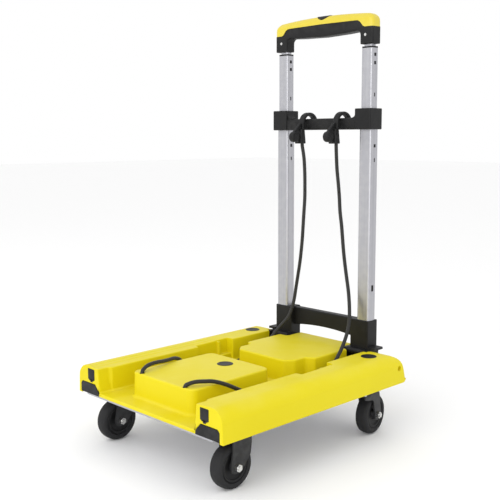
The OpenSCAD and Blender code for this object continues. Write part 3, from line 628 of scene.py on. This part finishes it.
def makeRailEnd(side, name):
    middle, radius, lowRadius = rail["endCentre"][0], rail["endRadius"], rail["endLow"][1]
    ys = {middle + radius * math.sin(math.pi / 2 * k / 24) for k in range(18)}
    ys.update(rail["join"] + (middle - rail["join"]) * k / 4 for k in range(4))
    ys.update(219 + 1.1 * k for k in range(4))
    ys.update(rail["endLow"][0] + lowRadius * math.sin(1.38 * k / 9) for k in range(10))
    rings = []
    for y in sorted(ys):
        high, floor = endHeight(y), endFloor(y)
        ring = []
        for p in roundedOutline(endCorners(y), 0, 14):
            z = p.y
            if high < rail["top"] - 0.01 and z > high - 12:
                z = min(z, high - 1.2 * math.exp(-abs(high - z) / 3.0))     # the crest melts into the end
            ring.append((side * p.x, y, max(floor, min(z, high))))
        rings.append(ring)
    bm = bmesh.new()
    addRings(bm, rings)
    return finishPiece(name + "_end", bm, "deck", "yellow_moulding", ["deck_moulding"], 40)

def cutAway(piece, cutters, operation="DIFFERENCE", sharp=38.0):
    # exact cut of one mesh by others, which then go
    piece.modifiers.clear()
    for cutter in cutters:
        step = piece.modifiers.new("cut", "BOOLEAN")
        step.operation = operation
        step.solver = "EXACT"
        step.object = cutter
    view = bpy.context.evaluated_depsgraph_get()
    mesh = bpy.data.meshes.new_from_object(piece.evaluated_get(view))
    piece.modifiers.clear()
    piece.data = mesh
    mesh.set_sharp_from_angle(angle=math.radians(sharp))
    keepFlatFaces(piece)
    for cutter in cutters:
        bpy.data.objects.remove(cutter, do_unlink=True)

def makeCutter(build):
    # bare solid that a later cut uses up
    bm = bmesh.new()
    build(bm)
    bmesh.ops.recalc_face_normals(bm, faces=bm.faces)
    mesh = bpy.data.meshes.new("cutter")
    bm.to_mesh(mesh)
    bm.free()
    cutter = bpy.data.objects.new("cutter", mesh)
    bpy.context.scene.collection.objects.link(cutter)
    return cutter

def circleCorners(u, v, radius, count=32):
    return [(u + radius * math.cos(2 * math.pi * k / count), v + radius * math.sin(2 * math.pi * k / count),
        0.01) for k in range(count)]

for side, name in ((1, "rail_right"), (-1, "rail_left")):
    makeRailBody(side, name)
    low, high = sorted(side * x for x in rail["dimpleDepth"])
    dimple = makeCutter(lambda bm: addPrism(bm, circleCorners(*rail["dimple"]), low, high,
        axis="X", edge=(0.5, 0.5), steps=1))
    cutAway(makeRailEnd(side, name), [dimple])

blocks = {
    "floor": 102.0, "top": 146.0, "edge": 3.2, "draft": 0.9, "flare": 6.5,
    "front": [(-83, -202, 15), (83, -202, 15), (79, -15, 15), (-79, -15, 15)],
    "rear": [(58, 37, 11), (74, 54, 11), (73, 82, 6), (90, 90, 7), (90, 186, 4), (70, 186, 3),
        (70, 228, 4), (-70, 228, 4), (-70, 186, 3), (-90, 186, 4), (-90, 90, 7), (-73, 82, 6),
        (-74, 54, 11), (-58, 37, 11)],
    "holes": [(58, -195), (-58, -195)], "holeRadius": 4.75, "holeHeight": (128, 160),
}

def makeBlock(name, corners):
    # flared foot, slightly leaning wall, round top edge
    floor, top, flare, draft = blocks["floor"], blocks["top"], blocks["flare"], blocks["draft"]
    levels = [(flare - 0.4, floor - 1.0)]
    for k in range(7):
        turn = math.pi / 2 * k / 6
        levels.append((flare * (1 - math.sin(turn)), floor + flare * (1 - math.cos(turn)) - 0.1))
    wallTop = top - blocks["edge"]
    levels += [(-draft * t, floor + flare + (wallTop - floor - flare) * t) for t in (0.35, 0.7)]
    levels += [(-draft - inset, top - depth) for inset, depth in reversed(edgeSteps(blocks["edge"], 5))]
    bm = bmesh.new()
    rings = [[(p.x, p.y, z) for p in roundedOutline(corners, grow, 8)] for grow, z in levels]
    addRings(bm, rings)
    return finishPiece(name, bm, "deck", "yellow_moulding", ["deck_moulding"], 40)

frontBlock = makeBlock("front_block", blocks["front"])
holes = [makeCutter(lambda bm: addPrism(bm, circleCorners(x, y, blocks["holeRadius"]),
    *blocks["holeHeight"], edge=(0.2, 0.2), steps=1)) for x, y in blocks["holes"]]
cutAway(frontBlock, holes)
makeBlock("rear_block", blocks["rear"])

floorPlate = {
    "corners": [(-130.5, -237, 0.5), (130.5, -237, 0.5), (130.5, 187.6, 0.5), (70, 187.6, 0.5),
        (70, 228, 2), (-70, 228, 2), (-70, 187.6, 0.5), (-130.5, 187.6, 0.5)],
    "low": 96.0, "high": 102.0, "edge": (0.8, 2.2),
}
bm = bmesh.new()
addPrism(bm, floorPlate["corners"], floorPlate["low"], floorPlate["high"], edge=floorPlate["edge"])
finishPiece("deck_floor", bm, "deck", "yellow_moulding", ["deck_moulding"])
print("deck done")

# small black fittings on the deck

caps = {
    "profile": [(0.0, 0.35), (11.6, 0.45), (12.6, 0.75), (13.9, 0.6), (14.8, 0.1), (15.0, -0.6), (15.0, -5.0),
        (0.0, -5.0)],
    "rail": [(154, 168), (-154, 168)], "railTop": 146.8,
    "block": (0, -53), "blockTop": 146.0,
}

def addCap(bm, x, y, top):
    turn = Matrix.Translation((x, y, top)) @ Matrix.Rotation(-math.pi / 2, 4, "Y")
    addLathe(bm, [(max(r, 0.02), a) for r, a in caps["profile"]], 64, turn)

bm = bmesh.new()
for x, y in caps["rail"]:
    addCap(bm, x, y, caps["railTop"])
finishPiece("rail_caps_seen", bm, "deck", "black_plastic", ["rail_caps"])
bm = bmesh.new()
addCap(bm, *caps["block"], caps["blockTop"])
finishPiece("block_cap_seen", bm, "deck", "black_plastic", ["block_cap"])

clip = {"x": 153.0, "half": 10.0, "z": (122.5, 142.5), "face": -237.5, "back": -234.0,
    "tabs": [(3.4, 118.2, 123.5), (7.0, 120.9, 123.5)], "tabDepth": (-237.6, -236.0)}
bm = bmesh.new()
for side in (1, -1):
    x = side * clip["x"]
    addPrism(bm, boxCorners(x - clip["half"], x + clip["half"], *clip["z"], 1.2), clip["face"], clip["back"],
        axis="Y", edge=(0.5, 0.2))
    for half, low, high in clip["tabs"]:
        addPrism(bm, boxCorners(x - half, x + half, low, high, 0.8), *clip["tabDepth"], axis="Y",
            edge=(0.3, 0.1))
finishPiece("window_clips_seen", bm, "deck", "black_plastic", ["window_clips"])
print("fittings done")

# casters

caster = {
    "front": (154.0, -184.0), "swivel": (160.0, 146.0), "trail": 26.0, "wheel": 37.5,
    "yaw": {"left": -7.0, "right": 8.0},
    "tyre": [(26.5, -9.6), (27.4, -11.3), (29.2, -12.0), (31.8, -11.9), (34.4, -11.0), (36.2, -9.0),
        (37.2, -5.8), (37.5, -2.0), (37.5, 2.0), (37.2, 5.8), (36.2, 9.0), (34.4, 11.0), (31.8, 11.9),
        (29.2, 12.0), (27.4, 11.3), (26.5, 9.6)],
    "hub": [(4.05, -13.5), (8.6, -13.5), (9.2, -12.9), (10.2, -8.4), (11.2, -7.6), (19.4, -7.6),
        (20.6, -8.6), (21.6, -10.4), (25.0, -10.6), (26.0, -9.9), (26.4, -8.8), (26.4, 8.8), (26.0, 9.9),
        (25.0, 10.6), (21.6, 10.4), (20.6, 8.6), (19.4, 7.6), (11.2, 7.6), (10.2, 8.4), (9.2, 12.9),
        (8.6, 13.5), (4.05, 13.5)],
    "leg": (14.0, 16.5),        # inner and outer face
    "frontLeg": [(30.5, 90.5, 1), (30.5, 72, 8), (28, 54, 12), (17, 40, 10), (7, 29, 8), (-12, 29, 7),
        (-13, 40, 4), (-9, 66, 6), (-8, 90.5, 1)],
    "frontPlate": (-25, 25, -29, 30.5), "plate": (89.0, 92.4),
    "frontBridge": (-16.5, 16.5, -13, 30.5), "bridge": (86.5, 90.0),
    "rearLeg": [(29, 84, 1), (33, 70, 10), (36, 42, 8), (34, 28.5, 8), (18, 28.5, 8), (16.5, 40, 6),
        (11, 70, 9), (-20, 76, 5), (-20, 84, 1)],
    "headPlate": (-16.5, 16.5, -20, 29), "head": (80.4, 84.0), "headDisc": (18.0, 83.0, 87.0),
}

def wheelPlace(end, hand):
    side = 1 if hand == "right" else -1
    if end == "front":
        return Matrix.Translation((side * caster["front"][0], caster["front"][1], caster["wheel"]))
    return rearPlace(hand) @ Matrix.Translation((0, caster["trail"], caster["wheel"]))

def rearPlace(hand):
    side = 1 if hand == "right" else -1
    return Matrix.Translation((side * caster["swivel"][0], caster["swivel"][1], 0)) @ Matrix.Rotation(
        math.radians(caster["yaw"][hand]), 4, "Z")

for end in ("front", "rear"):
    for hand in ("left", "right"):
        wheel, place = end + "_" + hand, wheelPlace(end, hand)
        bm = bmesh.new()
        addLathe(bm, caster["tyre"], 96, place)
        finishPiece(wheel + "_tyre_seen", bm, wheel + "_wheel", "wheel_rubber", [wheel + "_tyre"], 50)
        bm = bmesh.new()
        addLathe(bm, caster["hub"], 96, place)
        finishPiece(wheel + "_hub_seen", bm, wheel + "_wheel", "black_plastic", [wheel + "_hub"], 45)

def addLegs(bm, outline, place):
    near, far = caster["leg"]
    for low, high in ((near, far), (-far, -near)):
        addPrism(bm, outline, low, high, axis="X", edge=(0.7, 0.7), turn=place)

for hand, side in (("left", -1), ("right", 1)):
    place = Matrix.Translation((side * caster["front"][0], caster["front"][1], 0))
    bm = bmesh.new()
    addLegs(bm, caster["frontLeg"], place)
    addPrism(bm, boxCorners(*caster["frontPlate"], 4), *caster["plate"], edge=(0.6, 0.3), turn=place)
    addPrism(bm, boxCorners(*caster["frontBridge"], 3), *caster["bridge"], edge=(0.6, 0.3), turn=place)
    finishPiece("front_fork_" + hand + "_seen", bm, "deck", "black_steel", ["front_fork_" + hand])
    place = rearPlace(hand)
    bm = bmesh.new()
    addLegs(bm, caster["rearLeg"], place)
    addPrism(bm, boxCorners(*caster["headPlate"], 4), *caster["head"], edge=(0.6, 0.6), turn=place)
    radius, low, high = caster["headDisc"]
    addPrism(bm, circleCorners(0, 0, radius, 48), low, high, edge=(0.2, 0.8), steps=1, turn=place)
    finishPiece("rear_fork_" + hand + "_seen", bm, "rear_" + hand + "_swivel", "black_steel",
        ["rear_fork_" + hand])
print("casters done")

# yoke, hook bar and hooks

yoke = {
    "sleeve": (78.5, 121.5, 206.5, 235.6), "height": (118.0, 201.5), "round": 1.6,
    "hinge": (200.0, 141.0), "ear": 6.0,
    "cross": (216.5, 233.0, 200.0), "archRadius": 516.0, "archTop": 169.0,
}

def makeYoke():
    x0, x1, y0, y1 = yoke["sleeve"]
    hingeY, hingeZ = yoke["hinge"]
    ear = yoke["ear"]
    bm = bmesh.new()
    for side in (1, -1):
        low, high = sorted((side * x0, side * x1))
        addPrism(bm, boxCorners(low, high, y0, y1, yoke["round"]), *yoke["height"], edge=(1.5, 1.5))
        earCorners = [(y0 + 2, hingeZ - ear, 0.2), (y0 + 2, hingeZ + ear, 0.2),
            (hingeY - ear, hingeZ + ear, ear - 0.2), (hingeY - ear, hingeZ - ear, ear - 0.2)]
        addPrism(bm, earCorners, low + 0.3, high - 0.3, axis="X", edge=(0.8, 0.8))
    rings = []
    front, back, top = yoke["cross"]
    for k in range(33):
        x = -x0 - 1 + (2 * x0 + 2) * k / 32
        bottom = yoke["archTop"] - yoke["archRadius"] + math.sqrt(yoke["archRadius"] ** 2 - x * x)
        rings.append([(x, p.x, p.y) for p in roundedOutline(boxCorners(front, back, bottom, top, 2.5))])
    addRings(bm, rings)
    finishPiece("yoke_seen", bm, "handle", "black_plastic", ["yoke"])

makeYoke()

hookBar = {
    "bar": (202.0, 224.0, 565.0, 587.0), "barRound": 4.0,
    "collar": (87.2, 124.2, 199.5, 237.0), "collarHeight": (565.0, 604.0), "collarRound": 2.6,
    "web": 12.0,
}

def makeHookBar():
    y0, y1, z0, z1 = hookBar["bar"]
    x0, x1, front, back = hookBar["collar"]
    web = hookBar["web"]
    bm = bmesh.new()
    addPrism(bm, boxCorners(y0, y1, z0, z1, hookBar["barRound"]), -x0 - 2, x0 + 2, axis="X", edge=(0.2, 0.2))
    for side in (1, -1):
        low, high = sorted((side * x0, side * x1))
        addPrism(bm, boxCorners(low, high, front, back, hookBar["collarRound"]), *hookBar["collarHeight"],
            edge=(1.6, 1.6), steps=7)
        curve = [(x0 + 2, z1 - 3, 0.1), (x0 + 2, z1 + web, 0.1)]
        for k in range(9):
            angle = math.pi / 2 * k / 8
            curve.append((x0 - web + web * math.cos(angle), z1 + web - web * math.sin(angle), 0.01))
        curve.append((x0 - web, z1 - 3, 0.1))
        points = [(side * u, v, r) for u, v, r in curve]
        addPrism(bm, points if side > 0 else points[::-1], y0 + 1.5, y1 - 1.5, axis="Y",
            edge=(1.0, 1.0), steps=1)
    finishPiece("crossbar_seen", bm, "handle", "black_plastic", ["crossbar"])

makeHookBar()

hook = {
    "centre": (213.0, 576.5), "inner": 17.0, "outer": 23.0, "width": 13.0, "tip": -12.0, "shank": -25.0,
    "places": {"left": -39.0, "right": 48.0},
    "lobe": (-42.0, -25.0, 10.0),
    "arms": [[(-25, -37, 3), (-25, -20, 2), (-38, -17, 3), (-44, -33, 3)],
        [(-21, -5, 1), (-25, 3, 3), (-47, -17, 4), (-42, -23, 4), (-36, -15, 4)]],
    "body": [(-31.0, -17.0, 9.5, -38.0), (-30.0, -17.0, 8.2, -24.0), (-27.5, -17.0, 6.5, -10.0)],
}

def makeHook(hand):
    x, (cy, cz) = hook["places"][hand], hook["centre"]
    half = hook["width"] / 2
    place = Matrix.Translation((0, cy, cz))
    bm = bmesh.new()
    outer, inner, start = hook["outer"], hook["inner"], math.radians(hook["tip"])
    turns = [start + (math.pi - start) * k / 20 for k in range(21)]
    back = [math.pi - (math.pi - start) * k / 20 for k in range(21)]
    corners = [(outer * math.cos(a), outer * math.sin(a), 1.5 if a == turns[0] else 0.01) for a in turns]
    corners += [(-outer, hook["shank"], 0.5), (-inner, hook["shank"], 0.5)]
    corners += [(inner * math.cos(a), inner * math.sin(a), 1.5 if a == back[-1] else 0.01) for a in back]
    addPrism(bm, corners, x - half, x + half, axis="X", edge=(2.2, 2.2), steps=3, turn=place)
    lobeY, lobeZ, lobeR = hook["lobe"]
    addPrism(bm, circleCorners(lobeY, lobeZ, lobeR), x - half, x + half, axis="X", edge=(3.0, 3.0), steps=1,
        turn=place)
    for arm, inset in zip(hook["arms"], (1.5, 3.2)):
        addPrism(bm, arm, x - half + inset, x + half - inset, axis="X", edge=(1.4, 1.4), turn=place)
    rings = []
    for grow, lift in ((-1.2, 0.0), (-0.3, 0.5), (0.0, 1.3)):
        y0, y1, wide, z = hook["body"][0]
        rings.append([place @ Vector((x + p.x, p.y, z + lift)) for p in roundedOutline(
            boxCorners(-wide, wide, y0, y1, 2.5), grow)])
    for y0, y1, wide, z in hook["body"][1:]:
        rings.append([place @ Vector((x + p.x, p.y, z)) for p in roundedOutline(
            boxCorners(-wide, wide, y0, y1, 2.5))])
    addRings(bm, rings)
    finishPiece("hook_" + hand + "_seen", bm, "hook_" + hand, "black_plastic", ["hook_" + hand])

makeHook("left")
makeHook("right")
print("yoke, bar and hooks done")

# grip and release button

grip = {
    "half": 123.0, "bottom": 720.5, "socket": 92.0, "end": 776.0, "rise": 6.0, "corner": 15.0, "sharp": 42,
    "underside": [(-92, 746, 8), (-55, 743.6, 40), (0, 742, 60), (55, 743.6, 40), (92, 746, 8)],
    "centre": 218.3, "depth": {"lower": 26.0, "cover": 28.0}, "round": {"lower": 4.5, "cover": 8.5},
    "crown": 5.0, "crownStart": 766.0,      # the top falls away to the front and back
    "joint": [(-140, 700), (140, 700), (140, 752), (105, 752), (101, 753.5), (94, 761.5), (89, 764.4),
        (84, 765), (0, 766), (-84, 765), (-89, 764.4), (-94, 761.5), (-101, 753.5), (-105, 752),
        (-140, 752)],
    "button": {"size": (36.0, 22.0), "middle": 217.0, "low": 770.0, "well": 765.0, "proud": 0.8},
}

def gripCorners():
    half, end, rise = grip["half"], grip["end"], grip["rise"]
    radius = (half ** 2 + rise ** 2) / (2 * rise)
    corners = [(grip["socket"], grip["bottom"], 2), (half, grip["bottom"], 2), (half, end, grip["corner"])]
    for x in range(96, -97, -16):
        corners.append((x, end + rise - radius + math.sqrt(radius ** 2 - x * x), 20))
    corners += [(-half, end, grip["corner"]), (-half, grip["bottom"], 2),
        (-grip["socket"], grip["bottom"], 2)]
    return corners + grip["underside"]

def addGrip(bm, part, grow):
    half, centre = grip["depth"][part] / 2, grip["centre"]
    steps = edgeSteps(grip["round"][part], 7)
    levels = [(grow - inset, centre - half + d) for inset, d in steps]
    levels += [(grow - inset, centre + half - d) for inset, d in reversed(steps)]
    corners = gripCorners()
    rings = []
    for out, y in levels:
        drop = grip["crown"] * ((y - centre) / half) ** 2
        rings.append([(p.x, y, p.y - drop * smooth((p.y - grip["crownStart"]) / 10))
            for p in roundedOutline(corners, out, 5)])
    addRings(bm, rings)

def makeGripHalf(part, slot, grow, operation):
    bm = bmesh.new()
    addGrip(bm, part, grow)
    piece = finishPiece("grip_" + part + "_seen", bm, "upper_stage", slot, ["grip_" + part])
    below = makeCutter(lambda bm: addRings(bm, [[(x, y, z) for x, z in grip["joint"]] for y in (190, 250)]))
    cutAway(piece, [below], operation, grip["sharp"])
    return piece

def buttonOval(gap, low, high=800.0):
    wide, deep = (size / 2 + gap for size in grip["button"]["size"])
    angles = [2 * math.pi * k / 64 for k in range(64)]
    corners = [(wide * math.cos(a), grip["button"]["middle"] + deep * math.sin(a), 0.01) for a in angles]
    return makeCutter(lambda bm: addPrism(bm, corners, low, high))

makeGripHalf("lower", "black_plastic", -0.5, "INTERSECT")
cover = makeGripHalf("cover", "golden_grip", 0.0, "DIFFERENCE")
cutAway(cover, [buttonOval(0.4, grip["button"]["well"])], sharp=grip["sharp"])

# the button is a slice of a slightly larger cover, so it follows the round top
bm = bmesh.new()
addGrip(bm, "cover", grip["button"]["proud"])
press = finishPiece("release_button_seen", bm, "release_button", "black_plastic", ["release_button"])
cutAway(press, [buttonOval(0.0, grip["button"]["low"])], "INTERSECT", grip["sharp"])
print("grip done")

# CAD parts that are shown as they are

shown = {
    "anodised": ["lower_tube_left", "lower_tube_right", "middle_tube_left", "middle_tube_right",
        "upper_tube_left", "upper_tube_right", "base_plate"],
    "zinc_steel": ["front_axles", "rear_axle_left", "rear_axle_right", "caster_bolts", "kingpins",
        "hinge_pins",
        "plate_screws", "yoke_screws", "grip_screws", "pull_rods", "release_bar", "button_spring"],
    "black_steel": ["beam_left", "beam_right", "swivel_plate_left", "swivel_plate_right"],
    "black_plastic": ["beam_plugs", "hinge_bracket_left", "hinge_bracket_right", "cord_stops", "lower_guides",
        "middle_guides", "middle_locks", "upper_locks"],
}
for slotName, names in shown.items():
    for name in names:
        node = nodes[name]
        node.data.materials.clear()
        node.data.materials.append(materials[slotName])
print("CAD parts dressed")
